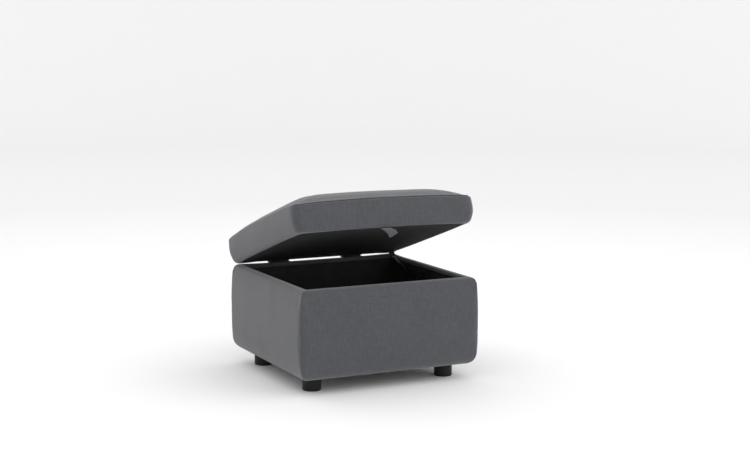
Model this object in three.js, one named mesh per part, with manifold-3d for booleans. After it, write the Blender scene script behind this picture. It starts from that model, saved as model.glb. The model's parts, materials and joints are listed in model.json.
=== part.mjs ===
// Upholstered storage ottoman: a padded box on four round feet, with a crowned lid that
// turns on two rear butt hinges and is held by a gas strut. Millimetres, +Z up, front at -Y.
// The lid is built in its closed place and then turned open by lidAngle about the hinge axis.
import * as THREE from 'three';
import { mergeVertices } from 'three/addons/utils/BufferGeometryUtils.js';
import Module from 'manifold-3d';

const wasm = await Module();
wasm.setup();

// ---- driving dimensions ----
const gap = 0.3; // free play kept between pieces that touch
const cloth = 2; // upholstery fabric with its backing
const lidAngle = THREE.MathUtils.degToRad(17.5);
const footprintCentre = 12.48; // how far behind the box's own middle the open ottoman's middle lies

const base = {
  halfX: 300, halfY: 285, bottom: 44, top: 316,
  corner: 15, topRound: 20, topTurn: 90, bottomRound: 28, bottomStretch: 1.37, bulge: 6.6,
};
const wall = { thickness: 38, rimRound: 9, board: 12, boardBottom: 50, postBottom: 60, boardTop: 305 };
const cavity = { halfX: base.halfX - wall.thickness, halfY: base.halfY - wall.thickness, corner: 4 };
const turnIn = 12; // fabric turned over the rim and down inside
const fit = 0.1; // how much more than the cloth the boards stand off
const floorPanel = { bottom: base.bottom + cloth + gap, thickness: 14 };
const lining = { thickness: 1.2 };
const dust = { thickness: 1, halfX: 258, halfY: 243 };
const padFoot = 6; // how far above the wall boards' lower edge the foam ends
const underTurn = { halfX: 240, halfY: 225 }; // opening left by the cover turned under the floor

const lid = {
  halfX: 304, halfY: 288, bottom: 320, top: 408.2,
  corner: 27, topRound: 20, topTurn: 42, bottomRound: 18.6, bottomStretch: 2.45, bulge: 3.2,
};
const crown = { height: 36, power: 10.9, fullness: 1.19, frontBow: 7.5, sideBow: 6.1 };
const lidBoard = { halfX: 274, halfY: 258, thickness: 12 };
const lidTurn = { halfX: 262, halfY: 246 }; // opening left by the border turned under the board
const underlining = { thickness: 0.8, halfX: 272, halfY: 256 };

const hinge = {
  y: 268, z: 317.45, middle: -8, spacing: 130, length: 73, knuckles: 5, radius: 2.5, pin: 1.2, bore: 1.5,
};
const leaf = { thickness: 1, baseFront: 249, lidFront: 240, holeInset: 24, room: 0.5 };
const screw = { radius: 1.9, clearance: 2.25, baseY: 256, lidY: 246, baseLength: 26, lidLength: 14 };

const foot = { radius: 28, x: 223, y: 191, edge: 3, bore: 4.4 };
const stud = { radius: 4, bottom: 12 };

const strut = {
  x: 250, footY: 18, footZ: 238, headY: 222, headZ: 309.6,
  tubeRadius: 7.5, tubeStart: 9, tubeEnd: 148, rodRadius: 3, rodStart: 62, bore: 3.6,
  lowerSocket: 6.5, upperSocket: 5.5, socketHalf: 5.2,
};
const stayPlate = { thickness: 2, x: 260.6, back: 27, front: 9, bottom: 224, top: 286, screwZ: [258, 277] };
const lidBracket = {
  tabX: 257, tabFront: 214, tabBack: 240, left: 244, flangeFront: 226, flangeBack: 250, screwY: [232, 244],
};
const stayBall = { radius: 3, drop: 7 };

const pullTab = { width: 32, thickness: 2 };
// The pull tab's middle line on the closed lid: out from under the board, then down in front of the rim.
const pullTabLine = [
  [-8, -246, 317.2], [-7, -262, 317.45], [-3.5, -277, 312], [2, -286, 301], [8, -288.5, 287],
];

// ---- materials ----
function material(color, roughness, metalness = 0) {
  return new THREE.MeshStandardMaterial({ color, roughness, metalness });
}

const upholstery = material(0x55565c, 0.95);
const blackCloth = material(0x1b1b1d, 0.95);
const plywood = material(0xc9a775, 0.7);
const foam = material(0xe6dfc4, 0.95);
const blackPlastic = material(0x151516, 0.5);
const blackSteel = material(0x1d1d1f, 0.45, 0.8);
const zinc = material(0x9c9fa3, 0.35, 0.9);

// ---- solids: joining and cutting ----
function toSolid(geometry) {
  const bare = geometry.clone();
  bare.deleteAttribute('normal');
  bare.deleteAttribute('uv');
  const merged = mergeVertices(bare, 1e-4);
  const vertProperties = new Float32Array(merged.attributes.position.array);
  const triVerts = new Uint32Array(merged.index.array);
  return new wasm.Manifold(new wasm.Mesh({ numProp: 3, vertProperties, triVerts }));
}

function toGeometry(solid) {
  const mesh = solid.getMesh();
  const geometry = new THREE.BufferGeometry();
  geometry.setAttribute('position', new THREE.BufferAttribute(new Float32Array(mesh.vertProperties), 3));
  geometry.setIndex(new THREE.BufferAttribute(new Uint32Array(mesh.triVerts), 1));
  geometry.computeVertexNormals();
  return geometry;
}

function boxGeometry(x0, x1, y0, y1, z0, z1) {
  const geometry = new THREE.BoxGeometry(x1 - x0, y1 - y0, z1 - z0);
  return geometry.translate((x0 + x1) / 2, (y0 + y1) / 2, (z0 + z1) / 2);
}

function boxSolid(x0, x1, y0, y1, z0, z1) {
  return toSolid(boxGeometry(x0, x1, y0, y1, z0, z1));
}

function plateSolid(halfX, halfY, z0, z1) {
  return boxSolid(-halfX, halfX, -halfY, halfY, z0, z1);
}

function rodAlongZ(radius, x, y, z0, z1, sides = 12) {
  const geometry = new THREE.CylinderGeometry(radius, radius, z1 - z0, sides);
  return geometry.rotateX(Math.PI / 2).translate(x, y, (z0 + z1) / 2);
}

function rodAlongX(radius, x0, x1, y, z, sides = 12) {
  const geometry = new THREE.CylinderGeometry(radius, radius, x1 - x0, sides);
  return geometry.rotateZ(Math.PI / 2).translate((x0 + x1) / 2, y, z);
}

function cutAll(solid, cutters) {
  return cutters.reduce((rest, cutter) => rest.subtract(cutter), solid);
}

// ---- padded forms ----
// A rounded rectangle as a closed run of points, with extra points along its straight sides.
function roundedOutline(halfX, halfY, radius, sideSteps) {
  const cornerSteps = 3;
  const points = [];
  const centres = [[1, 1], [-1, 1], [-1, -1], [1, -1]];
  centres.forEach(([signX, signY], quarter) => {
    const centre = new THREE.Vector2(signX * (halfX - radius), signY * (halfY - radius));
    for (let step = 0; step <= cornerSteps; step += 1) {
      const angle = (Math.PI / 2) * (quarter + step / cornerSteps);
      points.push(new THREE.Vector2(Math.cos(angle), Math.sin(angle)).multiplyScalar(radius).add(centre));
    }
    const last = points[points.length - 1];
    const [nextX, nextY] = centres[(quarter + 1) % 4];
    const along = (Math.PI / 2) * (quarter + 1);
    const next = new THREE.Vector2(
      nextX * (halfX - radius) + radius * Math.cos(along),
      nextY * (halfY - radius) + radius * Math.sin(along),
    );
    for (let step = 1; step < sideSteps; step += 1) {
      points.push(last.clone().lerp(next, step / sideSteps));
    }
  });
  return points;
}

// Skins a stack of rings of 3-D points that all have the same count, and closes both ends.
function loft(rings) {
  const count = rings[0].length;
  const positions = rings.flat().flatMap((point) => point.toArray());
  const index = [];
  for (let ring = 0; ring + 1 < rings.length; ring += 1) {
    for (let i = 0; i < count; i += 1) {
      const a = ring * count + i;
      const b = ring * count + ((i + 1) % count);
      index.push(a, b, b + count, a, b + count, a + count);
    }
  }
  const addCap = (ring, flip) => {
    const centre = new THREE.Vector3();
    rings[ring].forEach((point) => centre.add(point));
    const middle = positions.length / 3;
    positions.push(...centre.divideScalar(count).toArray());
    for (let i = 0; i < count; i += 1) {
      const a = ring * count + i;
      const b = ring * count + ((i + 1) % count);
      index.push(middle, flip ? b : a, flip ? a : b);
    }
  };
  addCap(0, true);
  addCap(rings.length - 1, false);
  const geometry = new THREE.BufferGeometry();
  geometry.setAttribute('position', new THREE.Float32BufferAttribute(positions, 3));
  geometry.setIndex(index);
  return geometry;
}

// Heights and insets up the side of a padded form: a rounded foot, a bulging side, and a top
// rounded in through topTurn degrees.
function sideProfile(form, bottom, top, shrink) {
  const steps = 4;
  const topRound = form.topRound - shrink;
  const bottomRound = form.bottomRound - shrink;
  const bottomHeight = bottomRound * form.bottomStretch;
  const arcShare = (step) => 1 - Math.cos((Math.PI / 2) * (step / steps));
  const heights = [];
  for (let step = 0; step <= steps; step += 1) heights.push(bottom + bottomHeight * arcShare(step));
  for (let step = 1; step < 3; step += 1) {
    heights.push(THREE.MathUtils.lerp(bottom + bottomHeight, top - topRound, step / 3));
  }
  for (let step = 0; step <= steps; step += 1) {
    const turn = THREE.MathUtils.degToRad(form.topTurn) * (step / steps);
    heights.push(top - topRound * (1 - Math.sin(turn)));
  }
  return heights.map((z) => {
    const height = (z - bottom) / (top - bottom);
    const below = Math.max(0, (bottom + bottomHeight - z) / bottomHeight);
    const above = Math.max(0, (z - top + topRound) / topRound);
    const inset = shrink + form.bulge * (2 * height - 1) ** 2
      + bottomRound * (1 - Math.sqrt(Math.max(0, 1 - below ** 2)))
      + topRound * (1 - Math.sqrt(Math.max(0, 1 - above ** 2)));
    return { z, inset };
  });
}

function sideRing(form, inset, z, sideSteps) {
  const radius = Math.max(form.corner - inset / 2, 2);
  const outline = roundedOutline(form.halfX - inset, form.halfY - inset, radius, sideSteps);
  return outline.map((point) => new THREE.Vector3(point.x, point.y, z));
}

// The box's outer form, pulled in evenly by shrink.
function baseForm(shrink) {
  const profile = sideProfile(base, base.bottom + shrink, base.top - shrink, shrink);
  return toSolid(loft(profile.map(({ z, inset }) => sideRing(base, inset, z, 1))));
}

// The space inside the box, open at the top, widened by grow, with the rim's rounded inner edge.
function cavityForm(grow, floor) {
  const ringAt = (widen, z) => {
    const outline = roundedOutline(cavity.halfX + widen, cavity.halfY + widen, cavity.corner + grow, 1);
    return outline.map((point) => new THREE.Vector3(point.x, point.y, z));
  };
  const radius = wall.rimRound - grow;
  const start = base.top - wall.rimRound;
  const rings = [ringAt(grow, floor)];
  const steps = 3;
  for (let step = 0; step <= steps; step += 1) {
    const angle = (Math.PI / 2) * (step / steps);
    rings.push(ringAt(wall.rimRound - radius * Math.cos(angle), start + radius * Math.sin(angle)));
  }
  rings.push(ringAt(wall.rimRound, base.top + 10));
  return toSolid(loft(rings));
}

// The ring where the lid's border meets its top cover: its reach each way and its height.
const lidSeam = (() => {
  const { z, inset } = sideProfile(lid, lid.bottom, lid.top, 0).pop();
  return { x: lid.halfX - inset, y: lid.halfY - inset, z };
})();

// How far the seam rises between the corners: across the front and back, and along the sides.
function seamBow(x, y) {
  const share = (value, reach) => Math.min(1, Math.abs(value) / reach) ** 2;
  return crown.frontBow * (1 - share(x, lidSeam.x)) + crown.sideBow * (1 - share(y, lidSeam.y));
}

// The lid's outer form, pulled in evenly by shrink: a boxed border with a crowned top.
function lidForm(shrink) {
  const sideSteps = 3;
  const bottom = lid.bottom + shrink;
  const rings = sideProfile(lid, bottom, lid.top - shrink, shrink)
    .map(({ z, inset }) => sideRing(lid, inset, z, sideSteps));
  const edge = rings[rings.length - 1];
  const seam = edge[0].z;
  rings.flat().forEach((point) => {
    point.z += seamBow(point.x, point.y) * ((point.z - bottom) / (seam - bottom));
  });
  const fall = (value) => 1 - Math.min(1, Math.abs(value)) ** crown.power;
  [0.96, 0.9, 0.75, 0.5].forEach((scale) => {
    rings.push(edge.map((point) => {
      const x = point.x * scale;
      const y = point.y * scale;
      const rise = crown.height * (fall(x / lidSeam.x) * fall(y / lidSeam.y)) ** crown.fullness;
      return new THREE.Vector3(x, y, seam + seamBow(x, y) + rise);
    }));
  });
  return toSolid(loft(rings));
}

// ---- base ----
const sides = [
  { name: 'front', turn: 0, along: base.halfX, across: base.halfY },
  { name: 'right', turn: Math.PI / 2, along: base.halfY, across: base.halfX },
  { name: 'rear', turn: Math.PI, along: base.halfX, across: base.halfY },
  { name: 'left', turn: -Math.PI / 2, along: base.halfY, across: base.halfX },
];

// A mitred block that holds everything on one side of the box, between its two corner seams.
function mitreBlock(side) {
  const reach = 120;
  const spare = 20;
  const play = gap / Math.SQRT2;
  const shape = new THREE.Shape([
    new THREE.Vector2(-side.along - spare + play, -side.across - spare),
    new THREE.Vector2(side.along + spare - play, -side.across - spare),
    new THREE.Vector2(side.along - reach - play, -side.across + reach),
    new THREE.Vector2(-side.along + reach + play, -side.across + reach),
  ]);
  const depth = base.top + 2 * spare;
  const block = new THREE.ExtrudeGeometry(shape, { depth, bevelEnabled: false });
  return toSolid(block.rotateZ(side.turn));
}

function screwPlaces() {
  return [-1, 1].flatMap((hand) => [-1, 1].map((end) => ({
    name: `${hand < 0 ? 'left' : 'right'}_${end < 0 ? 'inner' : 'outer'}`,
    x: hinge.middle + hand * (hinge.spacing + end * leaf.holeInset),
  })));
}

const baseScrewTop = base.top + gap + leaf.thickness;
const baseScrewHoles = screwPlaces().map(({ x }) => toSolid(
  rodAlongZ(screw.clearance, x, screw.baseY, baseScrewTop - screw.baseLength - 1, baseScrewTop + 5, 8),
));
const stayScrewHoles = stayPlate.screwZ.map((z) => toSolid(
  rodAlongX(screw.clearance, cavity.halfX - 6, cavity.halfX + 14, strut.footY, z, 8),
));

// Upholstery: outer skin, over the rim, down inside by turnIn, and under the floor panel.
function coverShell() {
  const floor = base.bottom + cloth;
  const outer = baseForm(0).subtract(cavityForm(0, floor));
  const core = baseForm(cloth).subtract(cavityForm(cloth, base.bottom - 10));
  const inner = cavity.halfX + cloth + gap;
  const innerY = cavity.halfY + cloth + gap;
  const hidden = plateSolid(inner, innerY, floor, base.top - turnIn);
  const underside = plateSolid(underTurn.halfX, underTurn.halfY, base.bottom - 10, floor + 1);
  return cutAll(outer, [core, hidden, underside]);
}

// Foam: a slab on the outside of each wall board, rolled over the board's top edge.
function padRing() {
  const skin = cloth + gap;
  const boards = cavity.halfX + skin + wall.board + gap;
  const boardsY = cavity.halfY + skin + wall.board + gap;
  const lowest = wall.boardBottom + padFoot;
  return cutAll(baseForm(skin), [
    cavityForm(skin, base.bottom - 10),
    plateSolid(boards, boardsY, base.bottom - 10, wall.boardTop + gap),
    plateSolid(base.halfX + 10, base.halfY + 10, base.bottom - 10, lowest),
  ]);
}

function addSoftSides(group) {
  const shell = coverShell();
  const pads = padRing();
  sides.forEach((side) => {
    const block = mitreBlock(side);
    const cuts = side.name === 'rear' ? baseScrewHoles : [];
    addMesh(group, `${side.name}_cover`, toGeometry(cutAll(shell.intersect(block), cuts)), upholstery);
    addMesh(group, `${side.name}_pad`, toGeometry(cutAll(pads.intersect(block), cuts)), foam);
  });
}

function addFrame(group) {
  const innerX = cavity.halfX + cloth + gap + fit;
  const innerY = cavity.halfY + cloth + gap + fit;
  const outerX = innerX + wall.board;
  const outerY = innerY + wall.board;
  const { boardBottom, postBottom, boardTop } = wall;
  const front = boxGeometry(-innerX, innerX, -outerY, -innerY, boardBottom, boardTop);
  const rear = cutAll(boxSolid(-innerX, innerX, innerY, outerY, boardBottom, boardTop), baseScrewHoles);
  const left = boxGeometry(-outerX, -innerX, -innerY, innerY, boardBottom, boardTop);
  const right = cutAll(boxSolid(innerX, outerX, -innerY, innerY, boardBottom, boardTop), stayScrewHoles);
  addMesh(group, 'front_panel', front, plywood);
  addMesh(group, 'rear_panel', toGeometry(rear), plywood);
  addMesh(group, 'left_panel', left, plywood);
  addMesh(group, 'right_panel', toGeometry(right), plywood);
  [['front_left', -1, -1], ['front_right', 1, -1], ['rear_left', -1, 1], ['rear_right', 1, 1]]
    .forEach(([name, signX, signY]) => {
      const size = wall.board - gap;
      const post = new THREE.BoxGeometry(size, size, boardTop - postBottom);
      post.translate(signX * (outerX - size / 2), signY * (outerY - size / 2), (boardTop + postBottom) / 2);
      addMesh(group, `${name}_post`, post, plywood);
    });
  const { bottom, thickness } = floorPanel;
  const studHoles = footPlaces().map(({ x, y }) => toSolid(rodAlongZ(foot.bore, x, y, 0, 100)));
  const panel = plateSolid(innerX - gap, innerY - gap, bottom, bottom + thickness);
  addMesh(group, 'floor_panel', toGeometry(cutAll(panel, studHoles)), plywood);
  const dustCloth = plateSolid(dust.halfX, dust.halfY, base.bottom - gap - dust.thickness, base.bottom - gap);
  addMesh(group, 'dust_cloth', toGeometry(cutAll(dustCloth, studHoles)), blackCloth);
}

// The storage compartment's black lining: four walls and a floor, open at the top.
function addLining(group) {
  const outerX = cavity.halfX + cloth + fit;
  const outerY = cavity.halfY + cloth + fit;
  const bottom = floorPanel.bottom + floorPanel.thickness + gap;
  const top = base.top - turnIn - gap;
  const outer = plateSolid(outerX, outerY, bottom, top);
  const hollow = plateSolid(
    outerX - lining.thickness,
    outerY - lining.thickness,
    bottom + lining.thickness,
    top + 10,
  );
  addMesh(group, 'lining', toGeometry(cutAll(outer, [hollow, ...stayScrewHoles])), blackCloth);
}

// ---- feet ----
function footPlaces() {
  return [
    { name: 'front_left', x: -foot.x, y: -foot.y },
    { name: 'front_right', x: foot.x, y: -foot.y },
    { name: 'rear_left', x: -foot.x, y: foot.y },
    { name: 'rear_right', x: foot.x, y: foot.y },
  ];
}

function addFeet(group) {
  const top = base.bottom - gap - dust.thickness - gap;
  const profile = [
    new THREE.Vector2(0, 0),
    new THREE.Vector2(foot.radius - foot.edge, 0),
    new THREE.Vector2(foot.radius - foot.edge * 0.3, foot.edge * 0.3),
    new THREE.Vector2(foot.radius, foot.edge),
    new THREE.Vector2(foot.radius, top),
    new THREE.Vector2(foot.bore, top),
    new THREE.Vector2(foot.bore, stud.bottom - gap),
    new THREE.Vector2(0, stud.bottom - gap),
  ];
  const studTop = floorPanel.bottom + floorPanel.thickness - 1;
  footPlaces().forEach(({ name, x, y }) => {
    const body = new THREE.LatheGeometry(profile, 24).rotateX(Math.PI / 2).translate(x, y, 0);
    addMesh(group, `${name}_foot`, toGeometry(toSolid(body)), blackPlastic);
    addMesh(group, `${name}_stud`, rodAlongZ(stud.radius, x, y, stud.bottom, studTop), zinc);
  });
}

// ---- hinges ----
// One leaf: a plate and its share of the knuckles. The other leaf's knuckles get running room.
function hingeLeaf(centreX, first, front, z0, holes) {
  const { room } = leaf;
  const step = hinge.length / hinge.knuckles;
  const half = hinge.length / 2;
  let solid = boxSolid(centreX - half, centreX + half, front, hinge.y - hinge.bore, z0, z0 + leaf.thickness);
  for (let i = 0; i < hinge.knuckles; i += 1) {
    const start = centreX - half + i * step;
    const own = i % 2 === first;
    const trim = own ? room / 2 : -room / 2;
    const radius = own ? hinge.radius : hinge.radius + room;
    const knuckle = toSolid(rodAlongX(radius, start + trim, start + step - trim, hinge.y, hinge.z));
    solid = own ? solid.add(knuckle) : solid.subtract(knuckle);
  }
  const bore = toSolid(rodAlongX(hinge.bore, centreX - half - 1, centreX + half + 1, hinge.y, hinge.z));
  return cutAll(solid, [bore, ...holes]);
}

function addBaseHinges(group) {
  [['left', -1], ['right', 1]].forEach(([name, hand]) => {
    const x = hinge.middle + hand * hinge.spacing;
    const plate = hingeLeaf(x, 0, leaf.baseFront, base.top + gap, baseScrewHoles);
    addMesh(group, `${name}_hinge_base_leaf`, toGeometry(plate), blackSteel);
    const half = hinge.length / 2;
    addMesh(group, `${name}_hinge_pin`, rodAlongX(hinge.pin, x - half, x + half, hinge.y, hinge.z), zinc);
  });
  screwPlaces().forEach(({ name, x }) => {
    const shank = rodAlongZ(screw.radius, x, screw.baseY, baseScrewTop - screw.baseLength, baseScrewTop, 8);
    addMesh(group, `${name}_base_screw`, shank, blackSteel);
  });
}

// ---- lid ----
const underliningBottom = lid.bottom - gap - underlining.thickness;
const lidPlateTop = underliningBottom - gap;
const boardBottom = lid.bottom + cloth + gap;
const lidScrewHoles = screwPlaces().map(({ x }) => toSolid(
  rodAlongZ(screw.clearance, x, screw.lidY, lidPlateTop - 5, lidPlateTop + screw.lidLength + 1, 8),
));
const bracketMiddle = (lidBracket.left + lidBracket.tabX) / 2;
const bracketScrewHoles = lidBracket.screwY.map((y) => toSolid(
  rodAlongZ(screw.clearance, bracketMiddle, y, lidPlateTop - 5, lidPlateTop + screw.lidLength + 1, 8),
));
const allLidHoles = [...lidScrewHoles, ...bracketScrewHoles];

function addLidSoftParts(group) {
  const far = 2 * lid.halfX;
  const shell = lidForm(0).subtract(lidForm(cloth));
  const opening = plateSolid(lidTurn.halfX, lidTurn.halfY, lid.bottom - 10, lid.bottom + cloth + 1);
  const aboveSeam = plateSolid(far, far, lidSeam.z - gap / 2, lidSeam.z + 100);
  const belowSeam = plateSolid(far, far, lid.bottom - 10, lidSeam.z + gap / 2);
  const border = cutAll(shell, [aboveSeam, opening, ...allLidHoles]);
  addMesh(group, 'lid_border', toGeometry(border), upholstery);
  addMesh(group, 'lid_top_cover', toGeometry(shell.subtract(belowSeam)), upholstery);
  const boardTop = boardBottom + lidBoard.thickness + gap;
  const filling = lidForm(cloth + gap).subtract(plateSolid(far, far, lid.bottom - 10, boardTop));
  addMesh(group, 'lid_foam', toGeometry(filling), foam);
}

function addLidBoards(group) {
  const board = plateSolid(lidBoard.halfX, lidBoard.halfY, boardBottom, boardBottom + lidBoard.thickness);
  addMesh(group, 'lid_board', toGeometry(cutAll(board, allLidHoles)), plywood);
  const { halfX, halfY, thickness } = underlining;
  const sheet = plateSolid(halfX, halfY, underliningBottom, underliningBottom + thickness);
  addMesh(group, 'lid_underlining', toGeometry(cutAll(sheet, allLidHoles)), blackCloth);
}

// A flat strap along its middle line.
function addPullTab(group) {
  const steps = 10;
  const spine = new THREE.CatmullRomCurve3(pullTabLine.map((point) => new THREE.Vector3(...point)));
  const rings = [];
  for (let step = 0; step <= steps; step += 1) {
    const share = step / steps;
    const centre = spine.getPoint(share);
    const along = spine.getTangent(share);
    const across = new THREE.Vector3(1, 0, 0);
    across.addScaledVector(along, -across.dot(along)).normalize();
    const out = new THREE.Vector3().crossVectors(along, across);
    const corner = (hand, side) => centre.clone()
      .addScaledVector(across, hand * (pullTab.width / 2))
      .addScaledVector(out, side * (pullTab.thickness / 2));
    rings.push([corner(-1, -1), corner(1, -1), corner(1, 1), corner(-1, 1)]);
  }
  addMesh(group, 'pull_tab', toGeometry(toSolid(loft(rings))), upholstery);
}

function addLidHinges(group) {
  [['left', -1], ['right', 1]].forEach(([name, hand]) => {
    const x = hinge.middle + hand * hinge.spacing;
    const plate = hingeLeaf(x, 1, leaf.lidFront, lidPlateTop - leaf.thickness, lidScrewHoles);
    addMesh(group, `${name}_hinge_lid_leaf`, toGeometry(plate), blackSteel);
  });
  const bottom = lidPlateTop - leaf.thickness;
  screwPlaces().forEach(({ name, x }) => {
    const shank = rodAlongZ(screw.radius, x, screw.lidY, bottom, bottom + screw.lidLength, 8);
    addMesh(group, `${name}_lid_screw`, shank, blackSteel);
  });
}

function addLidBracket(group) {
  const { tabX, tabFront, tabBack, left, flangeFront, flangeBack, screwY } = lidBracket;
  const right = tabX + stayPlate.thickness;
  const under = lidPlateTop - leaf.thickness;
  const flange = boxSolid(left, right, flangeFront, flangeBack, under, lidPlateTop);
  const tab = boxSolid(tabX, right, tabFront, tabBack, strut.headZ - stayBall.drop, lidPlateTop);
  const ballStud = toSolid(rodAlongX(
    stayBall.radius, strut.x + strut.socketHalf + gap, tabX + 1, strut.headY, strut.headZ,
  ));
  const bracket = cutAll(flange.add(tab).add(ballStud), bracketScrewHoles);
  addMesh(group, 'stay_lid_bracket', toGeometry(bracket), blackSteel);
  screwY.forEach((y, i) => {
    const shank = rodAlongZ(screw.radius, bracketMiddle, y, under, under + screw.lidLength, 8);
    addMesh(group, `stay_lid_screw_${i + 1}`, shank, blackSteel);
  });
}

// ---- gas strut ----
function openedPoint(y, z) {
  const fromHinge = new THREE.Vector2(y - hinge.y, z - hinge.z).rotateAround(new THREE.Vector2(), -lidAngle);
  return fromHinge.add(new THREE.Vector2(hinge.y, hinge.z));
}

// The strut lies along local +Y from its lower pivot, and is turned up to meet the open lid.
function strutGroup() {
  const head = openedPoint(strut.headY, strut.headZ);
  const pivot = new THREE.Vector2(strut.footY, strut.footZ);
  const length = head.distanceTo(pivot);
  const group = new THREE.Group();
  group.position.set(strut.x, strut.footY, strut.footZ);
  group.rotation.x = Math.atan2(head.y - pivot.y, head.x - pivot.x);
  const socket = (radius, y) => rodAlongX(radius, -strut.socketHalf, strut.socketHalf, y, 0, 16);
  const tube = new THREE.LatheGeometry([
    new THREE.Vector2(0, strut.tubeStart),
    new THREE.Vector2(strut.tubeRadius - 2, strut.tubeStart),
    new THREE.Vector2(strut.tubeRadius, strut.tubeStart + 2),
    new THREE.Vector2(strut.tubeRadius, strut.tubeEnd - 2),
    new THREE.Vector2(strut.tubeRadius - 2, strut.tubeEnd),
    new THREE.Vector2(strut.bore, strut.tubeEnd),
    new THREE.Vector2(strut.bore, strut.tubeStart + 20),
    new THREE.Vector2(0, strut.tubeStart + 20),
  ], 16);
  const rodEnd = length - strut.upperSocket - gap;
  const rod = new THREE.CylinderGeometry(strut.rodRadius, strut.rodRadius, rodEnd - strut.rodStart, 12);
  rod.translate(0, (rodEnd + strut.rodStart) / 2, 0);
  addMesh(group, 'strut_lower_socket', socket(strut.lowerSocket, 0), blackPlastic);
  addMesh(group, 'strut_tube', toGeometry(toSolid(tube)), blackSteel);
  addMesh(group, 'strut_rod', rod, zinc);
  addMesh(group, 'strut_upper_socket', socket(strut.upperSocket, length), blackPlastic);
  return group;
}

function addWallBracket(group) {
  const { thickness, x, back, front, bottom, top, screwZ } = stayPlate;
  const plate = boxSolid(x, x + thickness, front, back, bottom, top);
  const ballStud = toSolid(rodAlongX(
    stayBall.radius, strut.x + strut.socketHalf + gap, x + 1, strut.footY, strut.footZ,
  ));
  addMesh(group, 'stay_wall_bracket', toGeometry(cutAll(plate.add(ballStud), stayScrewHoles)), blackSteel);
  screwZ.forEach((z, i) => {
    const shank = rodAlongX(screw.radius, x, cavity.halfX + 13, strut.footY, z, 8);
    addMesh(group, `stay_wall_screw_${i + 1}`, shank, blackSteel);
  });
}

// ---- assembly ----
function addMesh(group, name, geometry, look) {
  const mesh = new THREE.Mesh(geometry, look);
  mesh.name = name;
  group.add(mesh);
}

function baseGroup() {
  const group = new THREE.Group();
  addFrame(group);
  addSoftSides(group);
  addLining(group);
  addFeet(group);
  addBaseHinges(group);
  addWallBracket(group);
  return group;
}

function closedLid() {
  const group = new THREE.Group();
  addLidBoards(group);
  addLidSoftParts(group);
  addPullTab(group);
  addLidHinges(group);
  addLidBracket(group);
  return group;
}

// Turns the closed lid open about the hinge axis: its front edge rises.
function openLid() {
  const closed = closedLid();
  closed.position.set(0, -hinge.y, -hinge.z);
  const pivot = new THREE.Group();
  pivot.position.set(0, hinge.y, hinge.z);
  pivot.rotation.x = -lidAngle;
  pivot.add(closed);
  return pivot;
}

const ottoman = new THREE.Group();
ottoman.add(baseGroup(), openLid(), strutGroup());
ottoman.position.y = -footprintCentre;

export default ottoman;
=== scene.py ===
"""Looks of the storage ottoman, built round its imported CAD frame.

Forms are in millimetres, as in the CAD source, and the row frame is in metres.
"""

import json
import math

import bpy
import numpy as np
from mathutils import Matrix, Vector


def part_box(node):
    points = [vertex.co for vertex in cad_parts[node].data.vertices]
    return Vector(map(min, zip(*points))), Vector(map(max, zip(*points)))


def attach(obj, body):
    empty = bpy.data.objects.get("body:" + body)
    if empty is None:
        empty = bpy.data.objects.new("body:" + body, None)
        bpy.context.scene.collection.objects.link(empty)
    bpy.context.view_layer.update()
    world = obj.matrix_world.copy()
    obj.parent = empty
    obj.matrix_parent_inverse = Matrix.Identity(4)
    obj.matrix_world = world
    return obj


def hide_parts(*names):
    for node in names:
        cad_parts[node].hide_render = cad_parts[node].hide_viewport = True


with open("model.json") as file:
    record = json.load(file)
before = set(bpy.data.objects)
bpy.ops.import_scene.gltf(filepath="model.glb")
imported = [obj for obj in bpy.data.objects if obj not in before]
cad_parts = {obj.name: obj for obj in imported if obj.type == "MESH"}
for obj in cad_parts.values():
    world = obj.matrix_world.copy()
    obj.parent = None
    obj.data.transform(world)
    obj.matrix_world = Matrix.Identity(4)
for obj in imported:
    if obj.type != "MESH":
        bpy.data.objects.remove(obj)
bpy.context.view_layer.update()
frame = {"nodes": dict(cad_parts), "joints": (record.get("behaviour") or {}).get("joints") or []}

MM = 0.001
JOINTS = {joint["name"]: joint for joint in frame["joints"]}
HINGE = Vector(JOINTS["lid_hinge"]["pos_m"])
LID_OPEN = math.radians(-JOINTS["lid_hinge"]["range_deg"][0])
STRUT_PIVOT = Vector(JOINTS["strut_pivot"]["pos_m"])
STRUT_AXIS = Vector(JOINTS["strut_slide"]["axis"]).normalized()
MIDDLE_Y = (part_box("front_cover")[0].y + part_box("rear_cover")[1].y) / 2

# The padded forms, in millimetres: the CAD source's, but for the base's crisper corner.
BASE = {"x": 300, "y": 285, "bottom": 44, "top": 316, "corner": 9, "bulge": 6.6}
BASE |= {"top_round": 20, "top_turn": 90, "bottom_round": 28, "stretch": 1.37}
LID = {"x": 304, "y": 288, "bottom": 320, "top": 408.2, "corner": 27, "bulge": 3.2}
LID |= {"top_round": 20, "top_turn": 42, "bottom_round": 18.6, "stretch": 2.45}
CROWN = {"height": 36, "power": 10.9, "fullness": 1.19, "front_bow": 7.5, "side_bow": 6.1}
CLOTH = 2
CAVITY_INSET, RIM_ROUND, TURN_IN = 38, 9, 12
UNDER_TURN = 60
BOARD_OUT, BOARD_TOP = 23.3, 305.3
LID_BOARD_INSET, LID_TURN_INSET, LID_BOARD_TOP = 29.7, 42, 334.6
UNDERLINING_TOP, UNDERLINING_X, UNDERLINING_Y = 319.7, 272, 256
UNDERLINING_THICKNESS = 0.8
LINING_BOTTOM, LINING_TOP, LINING_INSET, LINING_THICKNESS = 60.6, 303.95, 35.9, 1.2
DUST_TOP, DUST_X, DUST_Y, DUST_THICKNESS = 43.7, 258, 243, 1
FOOT_RADIUS, FOOT_X, FOOT_Y, FOOT_TOP = 28, 223, 191, 42.4
BASE_LEAF_TOP, LID_LEAF_BOTTOM = 317.3, 317.6
SCREW_RADIUS, SCREW_HEAD = 1.9, 3.4
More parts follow.
